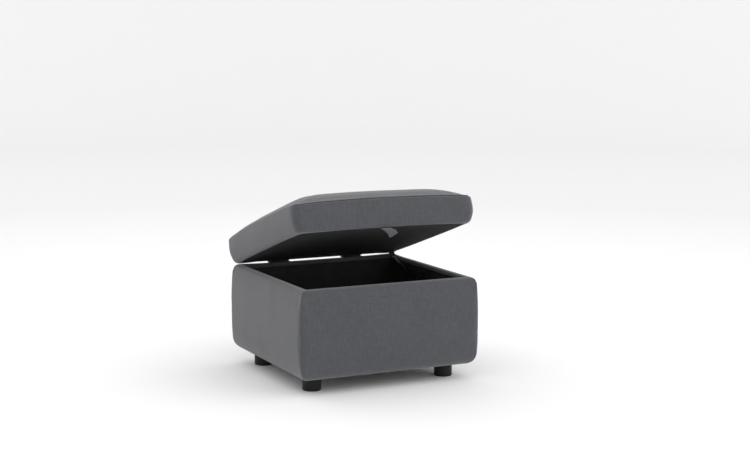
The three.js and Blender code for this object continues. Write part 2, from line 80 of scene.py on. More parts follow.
LONG_SCREW, SHORT_SCREW, STAPLE_HALF = 26, 14, 5
BASE_SCREW_Y, LID_SCREW_Y = 256, 246
TUBE_RADIUS, TUBE_START, TUBE_END = 7.5, 9, 148
ROD_RADIUS, ROD_START = 3, 62
LOWER_SOCKET, UPPER_SOCKET, SOCKET_HALF = 6.5, 5.5, 5.2
TAB_WIDTH, TAB_THICKNESS = 32, 2
TAB_LINE = [(-9, -258, 321), (-6, -268, 318.5), (-1, -278, 312), (5, -285, 303), (10, -287, 292.5)]

# How far the padding starts inside its form before it swells, and the most that it may swell.
BASE_SLACK, BASE_SWELL = 1.6, 2.2
LID_SLACK, LID_SWELL = 2.6, 3.4
PUFF_FRAMES, PUFF_PRESSURE = 20, 4.0

# The seams: how deep the lid's groove is, its half width, and how far each upright seam is pulled in.
GROOVE_DEPTH, GROOVE_WIDTH = 3.2, 1.5
BASE_CORNER_PULL, LID_CORNER_PULL = 1.5, 1.4

# The padding of the two rear corners: the base's stands up, and the lid's sags.
CORNER_LIFT, CORNER_SAG = 2.4, 3.8

# How far the underlining's sides are pulled out past its corners.
FRONT_PULL, SIDE_PULL, REAR_PULL = 15, 10, 5

# Looks. Colours are linear.
YARN_PITCH = 0.0012
SHEEN, SLUBS = 0.36, 0.12
FABRIC_DARK = (0.0475, 0.0488, 0.0556, 1)
FABRIC_PALE = (0.1025, 0.1046, 0.1155, 1)
# Painted shade along the lid's seam groove: the name of its mark, its dark colour, and how strongly it
# darkens the cloth.
GROOVE_SHADE_LAYER, GROOVE_PAINTED_SHADE, GROOVE_SHADE_STRENGTH = "groove_painted_shade", 0.012, 0.85
# Painted light on the floor and wall: paler near the middle, darker far off, and paler again up the wall.
FLOOR_PAINTED_LIGHT_NEAR, FLOOR_PAINTED_LIGHT_FAR, WALL_PAINTED_LIGHT = 0.96, 0.82, 0.9

# The camera, its place in metres about the box's own middle, and the wall behind, in metres.
VIEW_YAW, VIEW_PITCH, VIEW_ROLL = math.radians(26.316), math.radians(7.91), 0.0029
LENS, CAMERA_PLACE = 72.69, (-2.0112, -4.2293, 1.0823)
WALL_AWAY, WALL_BEND, WALL_HEIGHT, WALL_HALF = 9.0, 4.0, 9.0, 12.0

# The surround's even part, and its lobes: direction, narrowness and strength.
SURROUND_BASE = 0.85
SURROUND = [
    ((0.75, -0.6, 0.2), 3.0, 0.95),
    ((-0.1, 0.8, 0.6), 2.0, 0.58),
]

# How finely the padded forms are cut up.
SIDE_X, SIDE_Y = 66, 62
CORNER_ANGLES = (0, 15, 30, 41, 45, 49, 60, 75, 90)
HALF_CORNER = len(CORNER_ANGLES) // 2
WEAVE_MAP = "weave"
BOX_FACES = [(0, 2, 3, 1), (4, 5, 7, 6), (0, 1, 5, 4), (2, 6, 7, 3), (0, 4, 6, 2), (1, 3, 7, 5)]


# ---- outlines and skins ----
def outline(half_x, half_y, radius):
    """A rounded rectangle from the middle of its front left corner, counter-clockwise."""
    angles = np.radians(CORNER_ANGLES)
    points = []
    for quarter, (sign_x, sign_y, steps) in enumerate(
        ((-1, -1, SIDE_X), (1, -1, SIDE_Y), (1, 1, SIDE_X), (-1, 1, SIDE_Y))
    ):
        turned = angles + math.pi * (1 + quarter / 2)
        arc = np.stack([np.cos(turned), np.sin(turned)], 1) * radius
        arc += [sign_x * (half_x - radius), sign_y * (half_y - radius)]
        points.append(arc[:HALF_CORNER] if quarter else arc[:0])
        points.append(arc[HALF_CORNER:])
        across = np.array([half_x - radius, half_y - radius]) * 2
        way = np.array([(1, 0), (0, 1), (-1, 0), (0, -1)][quarter]) * across
        points.append(arc[-1] + way * (np.arange(1, steps) / steps)[:, None])
    turned = angles[:HALF_CORNER] + math.pi
    arc = np.stack([np.cos(turned), np.sin(turned)], 1) * radius
    points.append(arc + [-(half_x - radius), -(half_y - radius)])
    return np.concatenate(points)


def run_length(points):
    """Distance along a run of points, starting at 0."""
    steps = np.linalg.norm(np.diff(points, axis=0), axis=1)
    return np.concatenate([[0], np.cumsum(steps)])


class Skin:
    """Quads gathered strip by strip, each corner with its place on the cloth in metres."""

    def __init__(self):
        self.points, self.faces, self.places, self.count = [], [], [], 0

    def add_points(self, points):
        points = np.asarray(points, float).reshape(-1, 3)
        self.points.append(points)
        self.count += len(points)
        return np.arange(self.count - len(points), self.count)

    def add_faces(self, faces, places):
        self.faces.append(np.asarray(faces).reshape(-1, 4))
        self.places.append(np.asarray(places, float).reshape(-1, 4, 2))

    def add_strip(self, lower, upper, across, low, high):
        """A closed strip between two rings, its cloth running round the outline."""
        places = np.empty((len(lower), 4, 2))
        places[:, (0, 3), 0] = across[:-1, None]
        places[:, (1, 2), 0] = across[1:, None]
        places[:, :2, 1] = low
        places[:, 2:, 1] = high
        faces = np.stack([lower, np.roll(lower, -1), np.roll(upper, -1), upper], 1)
        self.add_faces(faces, places)

    def add_flat_strip(self, lower, upper):
        """A closed strip between two rings, its cloth lying flat as seen from above."""
        faces = np.stack([lower, np.roll(lower, -1), np.roll(upper, -1), upper], 1)
        self.add_faces(faces, np.concatenate(self.points)[faces][:, :, :2] * MM)

    def add_cap(self, ring, height, facing_up=True):
        """Fills a ring with a grid of quads at the heights given by height(x, y)."""
        across, along = SIDE_X + 2 * HALF_CORNER, SIDE_Y + 2 * HALF_CORNER
        points = np.concatenate(self.points)[ring][:, :2]
        grid = np.full((along + 1, across + 1), -1)
        loop = [(0, i) for i in range(across)] + [(j, across) for j in range(along)]
        loop += [(along, across - i) for i in range(across)]
        loop += [(along - j, 0) for j in range(along)]
        rows, columns = np.array(loop).T
        grid[rows, columns] = ring
        edge = np.zeros((*grid.shape, 2))
        edge[rows, columns] = points
        v = np.linspace(0, 1, along + 1)[:, None, None]
        u = np.linspace(0, 1, across + 1)[None, :, None]
        sides = (1 - v) * edge[:1] + v * edge[-1:] + (1 - u) * edge[:, :1] + u * edge[:, -1:]
        corners = (1 - u) * (1 - v) * edge[0, 0] + u * (1 - v) * edge[0, -1]
        corners = corners + (1 - u) * v * edge[-1, 0] + u * v * edge[-1, -1]
        inside = (sides - corners)[1:-1, 1:-1].reshape(-1, 2)
        heights = height(inside[:, 0], inside[:, 1]) + np.zeros(len(inside))
        added = self.add_points(np.column_stack([inside, heights]))
        grid[1:-1, 1:-1] = added.reshape(along - 1, across - 1)
        faces = np.stack([grid[:-1, :-1], grid[:-1, 1:], grid[1:, 1:], grid[1:, :-1]], 2)
        faces = faces.reshape(-1, 4)
        if not facing_up:
            faces = faces[:, ::-1]
        self.add_faces(faces, np.concatenate(self.points)[faces][:, :, :2] * MM)

    def arrays(self):
        return np.concatenate(self.points), np.concatenate(self.faces), np.concatenate(self.places)


def thin_sheet(edge, height, thickness):
    """A closed thin sheet inside an outline, its upper face at height(x, y)."""
    skin = Skin()
    upper = np.column_stack([edge, height(edge[:, 0], edge[:, 1])])
    top = skin.add_points(upper)
    bottom = skin.add_points(upper - [0, 0, thickness])
    skin.add_flat_strip(bottom, top)
    skin.add_cap(top, height)
    skin.add_cap(bottom, lambda x, y: height(x, y) - thickness, facing_up=False)
    return skin.arrays()


def turned(profile, steps=48):
    """A closed solid about +Z from (radius, height) pairs. A radius may also be one value per step."""
    angles = np.arange(steps) * 2 * math.pi / steps
    way = np.column_stack([np.cos(angles), np.sin(angles)])
    rings = []
    for radius, height in profile:
        reach = np.broadcast_to(radius, steps)[:, None]
        rings.append(np.column_stack([way * reach, np.full(steps, height)]))
    faces = [tuple(reversed(range(steps)))]
    for low in range(0, (len(profile) - 1) * steps, steps):
        for i in range(steps):
            after = (i + 1) % steps
            faces.append((low + i, low + after, low + steps + after, low + steps + i))
    faces.append(tuple(range((len(profile) - 1) * steps, len(profile) * steps)))
    return np.concatenate(rings), faces


def rounded_rod(radius, start, end, edge):
    """The (radius, height) pairs of a rod whose ends are rounded over by edge."""
    turn = np.linspace(0, math.pi / 2, 5)
    low = [(radius - edge * (1 - math.sin(a)), start + edge * (1 - math.cos(a))) for a in turn]
    high = [(r, start + end - z) for r, z in reversed(low)]
    return low + high


def box_points(low, high):
    """The eight corners and six faces of a box."""
    spots = [(x, y, z) for z in (low[2], high[2]) for y in (low[1], high[1]) for x in (low[0], high[0])]
    return np.array(spots, float), BOX_FACES


def make_piece(name, points, faces, places=None, crease=None):
    """A mesh object from points in metres in the row frame. Edges sharper than crease degrees stay sharp."""
    mesh = bpy.data.meshes.new(name)
    mesh.from_pydata([tuple(p) for p in points], [], [tuple(map(int, f)) for f in faces])
    if places is not None:
        layer = mesh.uv_layers.new(name=WEAVE_MAP)
        layer.data.foreach_set("uv", np.asarray(places, float).ravel())
    mesh.polygons.foreach_set("use_smooth", [True] * len(mesh.polygons))
    if crease is not None:
        mesh.set_sharp_from_angle(angle=math.radians(crease))
    mesh.update()
    piece = bpy.data.objects.new(name, mesh)
    bpy.context.scene.collection.objects.link(piece)
    return piece


def base_to_row(points):
    """Millimetres about the box's own middle to metres in the row frame."""
    return np.asarray(points, float) * MM + [0, MIDDLE_Y, 0]


def lid_to_row(points):
    """Millimetres on the closed lid to metres in the row frame, with the lid turned open."""
    closed = base_to_row(points) - np.array(HINGE)
    cos, sin = math.cos(LID_OPEN), math.sin(LID_OPEN)
    y = closed[:, 1] * cos + closed[:, 2] * sin
    z = closed[:, 2] * cos - closed[:, 1] * sin
    return np.column_stack([closed[:, 0], y, z]) + np.array(HINGE)


def strut_to_row(points):
    """Millimetres from the strut's lower pivot, +Z along the strut and +X as the row, to the row frame."""
    points = np.asarray(points, float) * MM
    along, across = np.array(STRUT_AXIS), np.array([1.0, 0, 0])
    up = np.cross(along, across)
    return np.array(STRUT_PIVOT) + points[:, :1] * across + points[:, 1:2] * up + points[:, 2:] * along


def place(piece, body, slot, material, replaced=()):
    """Puts a finished piece on its body, with its material and the CAD nodes it stands for."""
    piece.data.materials.clear()
    piece.data.materials.append(material)
    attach(piece, body)
    if replaced:
        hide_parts(*replaced)


def point_normals(mesh):
    normals = np.empty(len(mesh.vertices) * 3)
    mesh.vertex_normals.foreach_get("vector", normals)
    return normals.reshape(-1, 3)


def smooth_noise(places, scale, seed):
    """Gentle, repeatable unevenness from -1 to 1 over 2-D or 3-D places."""
    wave = np.random.default_rng(seed)
    places = np.asarray(places, float)
    total = np.zeros(len(places))
    for _ in range(9):
        way = wave.normal(size=places.shape[1])
        way *= 2 * math.pi / (scale * wave.uniform(0.7, 1.6) * np.linalg.norm(way))
        total += np.sin(places @ way + wave.uniform(0, 2 * math.pi))
    return total / 5


# ---- profiles ----
def side_profile(form, arc_steps, side_step):
    """Inset, height and corner radius up the outside of a padded form, from its underside."""
    bottom, top = form["bottom"], form["top"]
    rise = form["bottom_round"] * form["stretch"]
    turn = 1 - np.cos(np.linspace(0, math.pi / 2, arc_steps + 1))
    over = np.radians(np.linspace(0, form["top_turn"], arc_steps + 1))
    low, high = bottom + rise, top - form["top_round"]
    steps = max(2, round((high - low) / side_step))
    between = np.linspace(low, high, steps + 1)[1:-1]
    heights = np.concatenate([bottom + rise * turn, between, high + form["top_round"] * np.sin(over)])
    share = (heights - bottom) / (top - bottom)
    below = np.clip((low - heights) / rise, 0, 1)
    above = np.clip((heights - high) / form["top_round"], 0, 1)
    inset = form["bulge"] * (2 * share - 1) ** 2
    inset += form["bottom_round"] * (1 - np.sqrt(1 - below**2))
    inset += form["top_round"] * (1 - np.sqrt(1 - above**2))
    radius = np.maximum(form["corner"] - inset / 2, 2)
    return np.column_stack([inset, heights, radius])


def ring_at(form, inset, z, radius):
    flat = outline(form["x"] - inset, form["y"] - inset, radius)
    return np.column_stack([flat, np.full(len(flat), z)])


def cloth_widths(form):
    """Distance round the form's outline, in metres, for laying the weave."""
    ring = outline(form["x"], form["y"], form["corner"])
    return run_length(np.vstack([ring, ring[:1]])) * MM


def corner_index(number):
    """Where an outline passes the middle of a corner: 1 front right, 2 rear right, 3 rear left."""
    return sum([0, SIDE_X, SIDE_Y, SIDE_X][: number + 1]) + number * 2 * HALF_CORNER


# ---- cloth ----
def puff(piece, held, cap):
    """Swells a piece by cloth simulation. held is 1 where a point can't move; cap is in metres."""
    start = np.array([v.co for v in piece.data.vertices])
    group = piece.vertex_groups.new(name="held")
    levels = np.round(held * 10).astype(int)
    for level in range(1, 11):
        chosen = np.flatnonzero(levels == level).tolist()
        if chosen:
            group.add(chosen, level / 10, "REPLACE")
    cloth = piece.modifiers.new("puff", "CLOTH")
    settings = cloth.settings
    settings.quality = 6
    settings.mass = 0.3
    settings.tension_stiffness = 20
    settings.compression_stiffness = 20
    settings.shear_stiffness = 8
    settings.bending_stiffness = 1.5
    settings.vertex_group_mass = "held"
    settings.use_pressure = True
    settings.uniform_pressure_force = PUFF_PRESSURE
    settings.effector_weights.gravity = 0
    cloth.collision_settings.use_collision = False
    cloth.collision_settings.use_self_collision = False
    cloth.point_cache.frame_start = 1
    cloth.point_cache.frame_end = PUFF_FRAMES
    scene = bpy.context.scene
    for number in range(1, PUFF_FRAMES + 1):
        scene.frame_set(number)
    solved = piece.evaluated_get(bpy.context.evaluated_depsgraph_get())
    moved = np.array([v.co for v in solved.data.vertices]) - start
    piece.modifiers.remove(cloth)
    piece.vertex_groups.remove(group)
    scene.frame_set(1)
    length = np.linalg.norm(moved, axis=1, keepdims=True) + 1e-12
    return start, moved * np.tanh(length / cap) * cap / length


def set_points(piece, points):
    piece.data.vertices.foreach_set("co", np.asarray(points, float).ravel())
    piece.data.update()


def padded_form(name, skin, free, slack, swell, ripple):
    """A skin that starts slack inside its form and is swelled back out, with gentle ripples."""
    points, faces, places = skin
    piece = make_piece(name, base_to_row(points), faces, places)
    normals = point_normals(piece.data)
    sunk = normals * (slack * MM) * free[:, None]
    set_points(piece, base_to_row(points) - sunk)
    start, moved = puff(piece, 1 - free, swell * MM)
    return piece, normals, start + moved + normals * (ripple * free * MM)[:, None]


def subdivide(piece):
    smoother = piece.modifiers.new("subdivide", "SUBSURF")
    smoother.levels = 1
    smoother.render_levels = 1
    smoother.boundary_smooth = "PRESERVE_CORNERS"


# ---- materials ----
def add_node(tree, kind, output=0, settings=None, **inputs):
    """Adds a shader node and returns one output. An input is named, or i and its number."""
    made = tree.nodes.new("ShaderNode" + kind)
    for key, value in (settings or {}).items():
        setattr(made, key, value)
    for key, value in inputs.items():
        numbered = key[0] == "i" and key[1:].isdigit()
        socket = made.inputs[int(key[1:]) if numbered else key.replace("_", " ")]
        if isinstance(value, bpy.types.NodeSocket):
            tree.links.new(value, socket)
        else:
            socket.default_value = value
    return made.outputs[output]


class Finish:
    """A procedural material, built node by node."""

    def __init__(self, name, rough, metal=0.0, sheen=0.0, specular=0.5):
        self.material = bpy.data.materials.new(name)
        self.material.use_nodes = True
        self.tree = self.material.node_tree
        self.shader = self.tree.nodes["Principled BSDF"]
        looks = {"Roughness": rough, "Metallic": metal, "Sheen Weight": sheen}
        looks |= {"Sheen Roughness": 0.5, "Specular IOR Level": specular}
        for key, value in looks.items():
            self.shader.inputs[key].default_value = value

    def node(self, kind, **options):
        return add_node(self.tree, kind, **options)

    def math(self, operation, first, second=0.0):
        return self.node("Math", settings={"operation": operation}, i0=first, i1=second)

    def plus(self, first, second):
        return self.math("ADD", first, second)

    def times(self, first, second):
        return self.math("MULTIPLY", first, second)

    def mix(self, share, first, second):
        """Between two numbers."""
        return self.node("Mix", i0=share, i2=first, i3=second)

    def tint(self, share, first, second):
        """Between two colours."""
        colours = {"data_type": "RGBA"}
        return self.node("Mix", output=2, settings=colours, i0=share, i6=first, i7=second)

    def span(self, value, low, high, to_low, to_high):
        ends = {"From_Min": low, "From_Max": high, "To_Min": to_low, "To_Max": to_high}
        return self.node("MapRange", Value=value, **ends)

    def even(self, noise, to_low, to_high):
        """Spreads the usual values of a noise over a range."""
        return self.span(noise, 0.3, 0.7, to_low, to_high)

    def noise(self, vector, scale, detail=2.0, roughness=0.5):
        looks = {"Scale": scale, "Detail": detail, "Roughness": roughness}
        return self.node("TexNoise", Vector=vector, **looks)

    def colour(self, value):
        self.tree.links.new(value, self.shader.inputs["Base Color"])

    def rough(self, value):
        self.tree.links.new(value, self.shader.inputs["Roughness"])

    def bump(self, height, distance, strength):
        normal = self.node("Bump", Height=height, Distance=distance, Strength=strength)
        self.tree.links.new(normal, self.shader.inputs["Normal"])

    def object_place(self):
        return self.node("TexCoord", output=3)

    def cloth_place(self):
        return self.node("UVMap", settings={"uv_map": WEAVE_MAP})

    def joined(self, x, y, z=0.0):
        return self.node("CombineXYZ", X=x, Y=y, Z=z)


def grey(value, blue=0.0):
    return (value, value, value + blue, 1.0)


def upholstery_finish():
    """A plain weave of mixed grey yarns with faint slubs, a little fuzz, a soft sheen, and painted shade
    along the lid's seam groove.
    """
    finish = Finish("upholstery_weave", rough=0.9, sheen=SHEEN, specular=0.2)
    place = finish.cloth_place()
    warp = finish.math("DIVIDE", finish.node("SeparateXYZ", output=0, Vector=place), YARN_PITCH)
    weft = finish.math("DIVIDE", finish.node("SeparateXYZ", output=1, Vector=place), YARN_PITCH)
    warp_number = finish.math("FLOOR", warp)
    weft_number = finish.math("FLOOR", weft)
    turns = finish.math("MODULO", finish.plus(warp_number, weft_number), 2.0)
    over = finish.math("ABSOLUTE", turns)
    warp_round = finish.math("ABSOLUTE", finish.math("SINE", finish.times(warp, math.pi)))
    weft_round = finish.math("ABSOLUTE", finish.math("SINE", finish.times(weft, math.pi)))
    height = finish.mix(over, warp_round, weft_round)
    warp_yarn = finish.noise(finish.joined(warp_number, finish.times(weft, 0.05)), 0.93, 3.0)
    weft_place = finish.joined(finish.times(warp, 0.05), weft_number, 40.0)
    weft_yarn = finish.noise(weft_place, 0.93, 3.0)
    yarn = finish.mix(over, warp_yarn, weft_yarn)
    slubs = finish.noise(finish.node("Mapping", Vector=place, Scale=[260.0, 22.0, 1.0]), 1.0, 3.0, 0.6)
    fuzz = finish.noise(place, 5200.0)
    worn = finish.noise(place, 7.0)
    shade = finish.even(yarn, 0.15, 0.85)
    shade = finish.plus(shade, finish.even(slubs, -SLUBS, SLUBS))
    shade = finish.plus(shade, finish.even(fuzz, -0.12, 0.12))
    shade = finish.plus(shade, finish.even(worn, -0.05, 0.05))
    # Painted shade: the cloth is darkened along the lid's seam groove, where shade falls.
    seam = finish.node("Attribute", output=2, settings={"attribute_name": GROOVE_SHADE_LAYER})
    seam = finish.times(seam, GROOVE_SHADE_STRENGTH)
    finish.colour(finish.tint(seam, finish.tint(shade, FABRIC_DARK, FABRIC_PALE), grey(GROOVE_PAINTED_SHADE)))
    relief = finish.plus(height, finish.times(fuzz, 0.5))
    relief = finish.plus(relief, finish.times(yarn, 0.6))
    finish.bump(relief, 0.0003, 0.5)
    return finish.material


def black_cloth_finish():
    """Non-woven black cloth: matted fibres with rows of small bonding points."""
    finish = Finish("black_nonwoven", rough=0.95, specular=0.1)
    place = finish.cloth_place()
    fibres = finish.noise(place, 1400.0, 4.0, 0.6)
    cloudy = finish.noise(place, 25.0, 3.0)
    dots = finish.node("TexVoronoi", settings={"feature": "F1"}, Vector=place, Scale=420.0, Randomness=0.15)
    pressed = finish.span(dots, 0.15, 0.35, 0.0, 1.0)
    shade = finish.times(fibres, finish.even(cloudy, 0.7, 1.3))
    finish.colour(finish.tint(shade, grey(0.014), grey(0.042, blue=0.001)))
    finish.bump(finish.plus(pressed, fibres), 0.0003, 0.6)
    return finish.material


def plywood_finish(name, along):
    """Pale plywood with its grain along one axis."""
    finish = Finish(name, rough=0.6, specular=0.3)
    stretch = [30.0, 30.0, 30.0]
    stretch[along] = 2.2
    place = finish.node("Mapping", Vector=finish.object_place(), Scale=stretch)
    grain = finish.noise(place, 5.0, 6.0, 0.6)
    pores = finish.noise(place, 45.0, 3.0)
    shade = finish.even(grain, 0.0, 1.0)
    wood = finish.tint(shade, (0.42, 0.27, 0.13, 1), (0.62, 0.45, 0.26, 1))
    finish.colour(finish.tint(finish.span(pores, 0.55, 0.7, 0.0, 0.5), wood, (0.25, 0.15, 0.07, 1)))
    finish.bump(finish.plus(grain, finish.times(pores, 0.5)), 0.0004, 0.5)
    return finish.material


def black_plastic_finish():
    """Moulded black plastic with a fine grained surface and faint rub marks."""
    finish = Finish("black_moulded_plastic", rough=0.5, specular=0.22)
    place = finish.object_place()
    grain = finish.noise(place, 900.0)
    rubbed = finish.noise(place, 35.0, 5.0, 0.65)
    finish.colour(finish.tint(rubbed, grey(0.006), grey(0.014)))
    finish.rough(finish.even(rubbed, 0.38, 0.6))
    finish.bump(grain, 0.00012, 0.6)
    return finish.material


def black_steel_finish():
    """Black powder-coated steel with a slight orange-peel surface."""
    finish = Finish("black_coated_steel", rough=0.4, metal=0.3)
    place = finish.object_place()
    peel = finish.noise(place, 700.0)
    worn = finish.noise(place, 120.0, 5.0, 0.7)
    finish.colour(finish.tint(finish.span(worn, 0.62, 0.75, 0.0, 0.6), grey(0.012), grey(0.06)))
    finish.rough(finish.even(worn, 0.34, 0.5))
    finish.bump(peel, 0.00008, 0.5)
    return finish.material


def zinc_finish():
    """Bright plated steel with fine turning marks."""
    finish = Finish("bright_zinc_steel", rough=0.3, metal=1.0)
    place = finish.object_place()
    marks = finish.noise(finish.node("Mapping", Vector=place, Scale=[900.0, 60.0, 60.0]), 3.0, 2.0)
    cloudy = finish.noise(place, 90.0, 4.0)
    finish.colour(finish.tint(cloudy, grey(0.42, blue=0.02), grey(0.62, blue=0.02)))
    finish.rough(finish.even(marks, 0.22, 0.42))
    finish.bump(marks, 0.00005, 0.3)
    return finish.material


def floor_finish():
    """A pale seamless floor with a painted pool of light: paler round the middle of the studio, darker far
    off, and paler again up the wall.
    """
    finish = Finish("floor_with_painted_light", rough=0.9, specular=0.05)
    place = finish.object_place()
    away = finish.node("VectorMath", output=1, settings={"operation": "LENGTH"}, i0=place)
    # Painted light: paler near the middle and darker far off, then paler again up the wall.
    shade = finish.span(away, 1.2, 4.5, 0.0, 1.0)
    mottled = finish.even(finish.noise(place, 3.0, 4.0), -0.02, 0.02)
    shade = finish.plus(shade, mottled)
    flat = finish.tint(shade, grey(FLOOR_PAINTED_LIGHT_NEAR), grey(FLOOR_PAINTED_LIGHT_FAR))
    upright = finish.span(away, 9.0, 13.0, 0.0, 1.0)
    finish.colour(finish.tint(upright, flat, grey(WALL_PAINTED_LIGHT)))
    return finish.material


UPHOLSTERY = upholstery_finish()
BLACK_CLOTH = black_cloth_finish()
PLYWOOD_X = plywood_finish("plywood_grain_x", 0)
PLYWOOD_Y = plywood_finish("plywood_grain_y", 1)
PLYWOOD_Z = plywood_finish("plywood_grain_z", 2)
BLACK_PLASTIC = black_plastic_finish()
BLACK_STEEL = black_steel_finish()
ZINC = zinc_finish()

# ---- base upholstery ----
def base_profile():
    """Inset, height and corner radius round the padded wall, from the turned-under edge and back to it."""
    under = [(inset, BASE["bottom"], 2) for inset in (UNDER_TURN, 54, 48, 42, 38)]
    outside = side_profile(BASE, 10, 7)
    angles = np.linspace(0, math.pi / 2, 8)
    rim_inset, rim_z = CAVITY_INSET - RIM_ROUND, BASE["top"] - RIM_ROUND
    rim = [(rim_inset + RIM_ROUND * math.sin(a), rim_z + RIM_ROUND * math.cos(a), 4) for a in angles]
    foot = BASE["top"] - TURN_IN
    inside = [(CAVITY_INSET, (rim_z + foot) / 2, 4), (CAVITY_INSET, foot, 4)]
    floor = BASE["bottom"] + CLOTH
    hidden = [(CAVITY_INSET - CLOTH, foot, 3), (CAVITY_INSET - CLOTH, BOARD_TOP, 2), (30, BOARD_TOP, 1)]
    hidden += [(BOARD_OUT, z, 1) for z in (BOARD_TOP, 240, 180, 120, floor)]
    hidden += [(inset, floor, 1) for inset in (35, 48, UNDER_TURN)]
    visible = np.vstack([under, outside, rim, inside])
    return np.vstack([visible, hidden]), len(under), len(visible)


def loop_skin(form, profile):
    """Sweeps a closed profile round the form's outline."""
    skin = Skin()
    across = cloth_widths(form)
    rings = [skin.add_points(ring_at(form, *row)) for row in profile]
    along = run_length(np.vstack([profile, profile[:1]])[:, :2]) * MM
    for i, lower in enumerate(rings):
        skin.add_strip(lower, rings[(i + 1) % len(rings)], across, along[i], along[i + 1])
    return skin


def corner_seams(points, count, rows, depth):
    """Pulls the cloth in along the two upright seams at the rear corners."""
    points = points.reshape(-1, count, 3)
    for number in (2, 3):
        middle = corner_index(number)
        inward = np.array([-1 if number == 2 else 1, -1, 0]) / math.sqrt(2)
        for offset, share in ((-1, 0.25), (0, 1.0), (1, 0.25)):
            points[rows, middle + offset] += inward * depth * share
    return points.reshape(-1, 3)


def lift_rear_corners(points):
    """The padding stands a little higher where two layers meet at the rear corners of the rim."""
    above = np.clip((points[:, 2] - BASE["top"] + TURN_IN) / TURN_IN, 0, 1)
    for side in (-1, 1):
        across = (points[:, 0] - side * (BASE["x"] - 20)) / 65
        back = (points[:, 1] - (BASE["y"] - 23)) / 35
        points[:, 2] += CORNER_LIFT * above * np.exp(-(across**2) - back**2)
    return points


def make_base_cover():
    profile, outside_start, shown = base_profile()
    skin = loop_skin(BASE, profile).arrays()
    points = skin[0]
    count = len(cloth_widths(BASE)) - 1
    row = np.arange(len(profile))
    free = np.clip((profile[:, 1] - 50) / 30, 0, 1)
    free[profile[:, 1] > BASE["top"] - 8] = 0.25
    rim_start = shown - 10
    free[(row < outside_start) | (row >= rim_start)] = 0
    free = np.repeat(free, count)
    ripple = smooth_noise(points, 150, 3) * 0.45 + smooth_noise(points, 45, 4) * 0.14
    piece, _, start = padded_form("base_cover", skin, free, BASE_SLACK, BASE_SWELL, ripple)
    closed = (start - [0, MIDDLE_Y, 0]) / MM
    closed = corner_seams(closed, count, slice(2, shown - 3), BASE_CORNER_PULL)
    set_points(piece, base_to_row(lift_rear_corners(closed)))
    subdivide(piece)
    replaced = [f"{side}_{part}" for side in ("front", "rear", "left", "right") for part in ("cover", "pad")]
    place(piece, "base", "upholstery", UPHOLSTERY, replaced)


# ---- lid upholstery ----
LID_EDGE = side_profile(LID, 24, 3)[-1]
SEAM_X, SEAM_Y, SEAM_Z = LID["x"] - LID_EDGE[0], LID["y"] - LID_EDGE[0], LID_EDGE[1]


def seam_bow(x, y):
    """How far the seam rises between the corners."""
    along_x = np.minimum(1, np.abs(x) / SEAM_X) ** 2
    along_y = np.minimum(1, np.abs(y) / SEAM_Y) ** 2
    return CROWN["front_bow"] * (1 - along_x) + CROWN["side_bow"] * (1 - along_y)


def crown_height(x, y):
    fall_x = 1 - np.minimum(1, np.abs(x) / SEAM_X) ** CROWN["power"]
    fall_y = 1 - np.minimum(1, np.abs(y) / SEAM_Y) ** CROWN["power"]
    return SEAM_Z + seam_bow(x, y) + CROWN["height"] * (fall_x * fall_y) ** CROWN["fullness"]


def resample(path, places):
    """Points of a path (inset, height, radius) at these distances along it."""
    along = run_length(path[:, :2])
    return np.column_stack([np.interp(places, along, path[:, k]) for k in range(path.shape[1])])


def lid_profile():
    """Rows hidden under the board, rows up the border to the seam, and rows in over the crown."""
    inside = LID["bottom"] + CLOTH
    hidden = [(LID_BOARD_INSET, z, 2) for z in (LID_BOARD_TOP, 328, inside)]
    hidden += [(36, inside, 2), (LID_TURN_INSET, inside, 2), (LID_TURN_INSET, LID["bottom"], 2)]
    hidden += [(36, LID["bottom"], 3), (28, LID["bottom"], 6)]
    outside = side_profile(LID, 24, 3)
    length = run_length(outside[:, :2])[-1]
    near_seam = length - np.array([9, 6, 3.5, 1.8, 0.8, 0])
    places = np.concatenate([np.linspace(0, 20, 7)[:-1], np.arange(20, length - 12, 6.5), near_seam])
    border = resample(outside, places)
    steps = np.array([0.8, 1.8, 3.5, 6, 9, 13, 18, 24])
    radii = np.maximum(LID_EDGE[2] - steps / 2, 6)
    crown = np.column_stack([LID_EDGE[0] + steps, np.full(len(steps), SEAM_Z), radii])
    from_seam = np.concatenate([np.full(len(hidden), 200), length - places, steps * 1.4])
    return hidden, border, crown, from_seam


def lid_skin(hidden, border, crown):
    skin = Skin()
    across = cloth_widths(LID)
    profile = np.vstack([hidden, border, crown])
    seam_row = len(hidden) + len(border) - 1
    rings = []
    for i, (inset, z, radius) in enumerate(profile):
        ring = ring_at(LID, inset, z, radius)
        if i > seam_row:
            ring[:, 2] = crown_height(ring[:, 0], ring[:, 1])
        elif i >= len(hidden):
            share = (z - LID["bottom"]) / (SEAM_Z - LID["bottom"])
            ring[:, 2] += seam_bow(ring[:, 0], ring[:, 1]) * share
        rings.append(skin.add_points(ring))
    distance = run_length(profile[:, :2]) * MM
    for i in range(len(rings) - 1):
        if i < seam_row:
            skin.add_strip(rings[i], rings[i + 1], across, distance[i], distance[i + 1])
        else:
            skin.add_flat_strip(rings[i], rings[i + 1])
    skin.add_cap(rings[-1], crown_height)
    crowned = skin.count
    skin.add_cap(rings[0], lambda x, y: LID_BOARD_TOP, facing_up=False)
    return skin.arrays(), len(rings), crowned


def lower_rear_corners(points):
    """The border's rear corners sag onto the rim below."""
    below = np.clip((350 - points[:, 2]) / 20, 0, 1)
    for side in (-1, 1):
        across = (points[:, 0] - side * (LID["x"] - 20)) / 60
        back = (points[:, 1] - (LID["y"] - 8)) / 21
        points[:, 2] -= CORNER_SAG * below * np.exp(-(across**4) - back**2)
    return points


